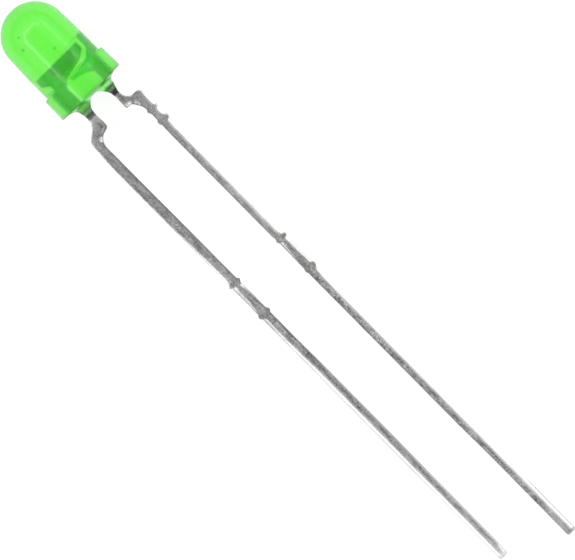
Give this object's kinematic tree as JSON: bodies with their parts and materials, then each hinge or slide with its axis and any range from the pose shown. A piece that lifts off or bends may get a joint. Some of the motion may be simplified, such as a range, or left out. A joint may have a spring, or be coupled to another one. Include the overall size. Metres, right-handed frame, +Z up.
{
  "type": "through hole led",
  "caption": "Round through-hole LED lying at rest: green diffused epoxy dome with a flange, and two long straight stamped leads.",
  "frame": {"origin": "middle of the length, on the surface that the part lies on, under the axis of the body", "axes": "+X along the leads towards their tips, +Y towards the anode (the longer lead), +Z up"},
  "size_m": [0.0312, 0.0032, 0.0033],
  "materials": {
    "epoxy": "gloss",
    "tinned_steel": "satin",
    "chip": "satin",
    "adhesive": "matte",
    "gold": "polished"
  },
  "bodies": {
    "root": {"epoxy_body": "epoxy", "cathode_lead": "tinned_steel", "anode_lead": "tinned_steel", "led_die": "chip", "die_attach": "adhesive", "bond_wire": "gold"}
  },
  "joints": []
}
